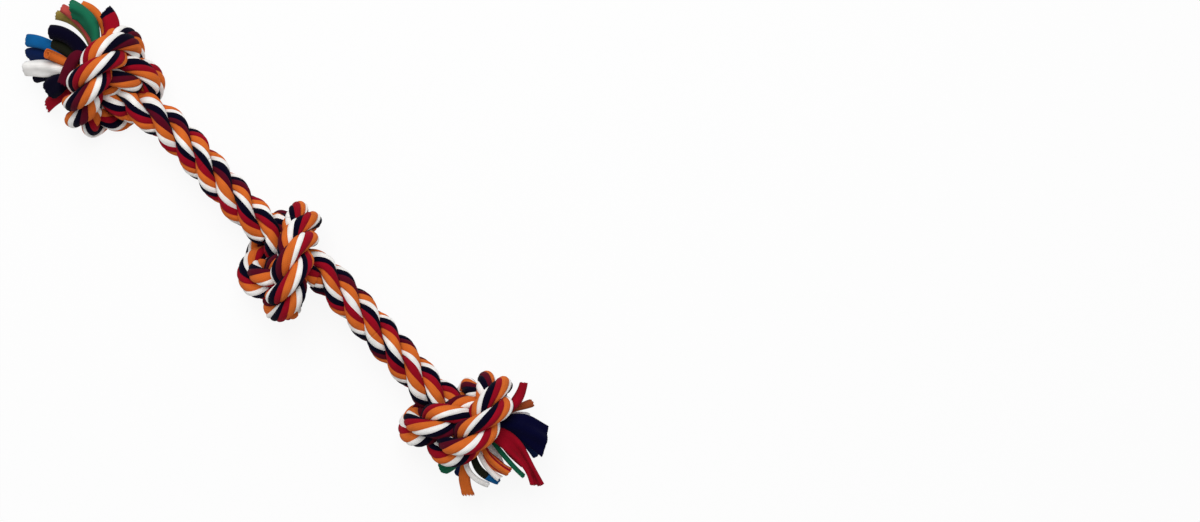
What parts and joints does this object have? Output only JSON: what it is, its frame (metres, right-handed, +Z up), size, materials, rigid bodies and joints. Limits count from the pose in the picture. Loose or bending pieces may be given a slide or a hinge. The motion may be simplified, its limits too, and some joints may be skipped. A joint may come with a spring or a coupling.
{
  "type": "rope dog toy",
  "caption": "Thick twisted cotton-jersey rope for dogs to chew and tug, tied in overhand knots, with frayed tassels of loose jersey strips at both ends.",
  "frame": {"origin": "centre of the toy's bounding box, at the plane that its knots rest on", "axes": "+X along the rope from the left tassel to the right one, +Y across it, +Z up from the floor"},
  "size_m": [0.4782, 0.0907, 0.0689],
  "materials": {
    "orange_jersey": "matt cotton jersey",
    "crimson_jersey": "matt cotton jersey",
    "maroon_jersey": "matt cotton jersey",
    "navy_jersey": "matt cotton jersey",
    "white_jersey": "matt cotton jersey",
    "green_jersey": "matt cotton jersey",
    "blue_jersey": "matt cotton jersey",
    "olive_jersey": "matt cotton jersey",
    "tan_jersey": "matt cotton jersey",
    "coral_jersey": "matt cotton jersey"
  },
  "bodies": {
    "middle_knot": {"middle_knot_strand_1": "orange_jersey", "middle_knot_strand_2": "crimson_jersey", "middle_knot_strand_3": "navy_jersey"},
    "left_span": {"left_turn_bend_strand_1": "orange_jersey", "left_turn_bend_strand_2": "crimson_jersey", "left_turn_bend_strand_3": "navy_jersey", "left_span_strand_1": "orange_jersey", "left_span_strand_2": "crimson_jersey", "left_span_strand_3": "navy_jersey", "left_lift_bend_strand_1": "orange_jersey", "left_lift_bend_strand_2": "crimson_jersey", "left_lift_bend_strand_3": "navy_jersey"},
    "left_knot": {"left_knot_strand_1": "orange_jersey", "left_knot_strand_2": "crimson_jersey", "left_knot_strand_3": "navy_jersey", "left_tassel_crimson_fold": "crimson_jersey", "left_tassel_green_wide": "green_jersey", "left_tassel_navy_roll": "navy_jersey", "left_tassel_orange_roll": "orange_jersey", "left_tassel_maroon_flap": "maroon_jersey", "left_tassel_orange_strip": "orange_jersey", "left_tassel_coral_strip": "coral_jersey", "left_tassel_olive_roll": "olive_jersey", "left_tassel_blue_strip": "blue_jersey", "left_tassel_white_wide": "white_jersey", "left_tassel_crimson_ragged": "crimson_jersey", "left_tassel_tan_strip": "tan_jersey", "left_tassel_white_strip": "white_jersey", "left_tassel_blue_dark_strip": "blue_jersey", "left_tassel_navy_thin": "navy_jersey", "left_tassel_navy_wide": "navy_jersey"},
    "right_span": {"right_turn_bend_strand_1": "orange_jersey", "right_turn_bend_strand_2": "crimson_jersey", "right_turn_bend_strand_3": "navy_jersey", "right_span_strand_1": "orange_jersey", "right_span_strand_2": "crimson_jersey", "right_span_strand_3": "navy_jersey", "right_lift_bend_strand_1": "orange_jersey", "right_lift_bend_strand_2": "crimson_jersey", "right_lift_bend_strand_3": "navy_jersey"},
    "right_knot": {"right_knot_strand_1": "orange_jersey", "right_knot_strand_2": "crimson_jersey", "right_knot_strand_3": "navy_jersey", "right_tassel_crimson_stub": "crimson_jersey", "right_tassel_navy_flared": "navy_jersey", "right_tassel_crimson_wide": "crimson_jersey", "right_tassel_orange_red_edge": "orange_jersey", "right_tassel_white_short": "white_jersey", "right_tassel_orange_brown": "orange_jersey", "right_tassel_grey_white": "white_jersey", "right_tassel_green_thin": "green_jersey", "right_tassel_white_long": "white_jersey", "right_tassel_teal_black": "olive_jersey", "right_tassel_orange_ragged": "orange_jersey", "right_tassel_navy_small": "navy_jersey", "right_tassel_crimson_under": "crimson_jersey", "right_tassel_white_under": "white_jersey", "right_tassel_blue_small": "blue_jersey", "right_tassel_green_left": "green_jersey"}
  },
  "joints": [
    {"name": "left_turn", "type": "hinge", "parent": "middle_knot", "child": "left_span", "pos_m": [-0.055, -0.0017, 0.0289], "axis": [0, 0, 1], "range_deg": [-50, 50], "deforming": ["left_turn_bend_strand_1", "left_turn_bend_strand_2", "left_turn_bend_strand_3"]},
    {"name": "left_lift", "type": "hinge", "parent": "left_span", "child": "left_knot", "pos_m": [-0.119, 0.0029, 0.0292], "axis": [0, 1, 0], "range_deg": [0, 60], "deforming": ["left_lift_bend_strand_1", "left_lift_bend_strand_2", "left_lift_bend_strand_3"]},
    {"name": "right_turn", "type": "hinge", "parent": "middle_knot", "child": "right_span", "pos_m": [0.055, 0.0011, 0.0343], "axis": [0, 0, 1], "range_deg": [-50, 50], "deforming": ["right_turn_bend_strand_1", "right_turn_bend_strand_2", "right_turn_bend_strand_3"]},
    {"name": "right_lift", "type": "hinge", "parent": "right_span", "child": "right_knot", "pos_m": [0.109, -0.0032, 0.0311], "axis": [0, -1, 0], "range_deg": [0, 60], "deforming": ["right_lift_bend_strand_1", "right_lift_bend_strand_2", "right_lift_bend_strand_3"]}
  ]
}
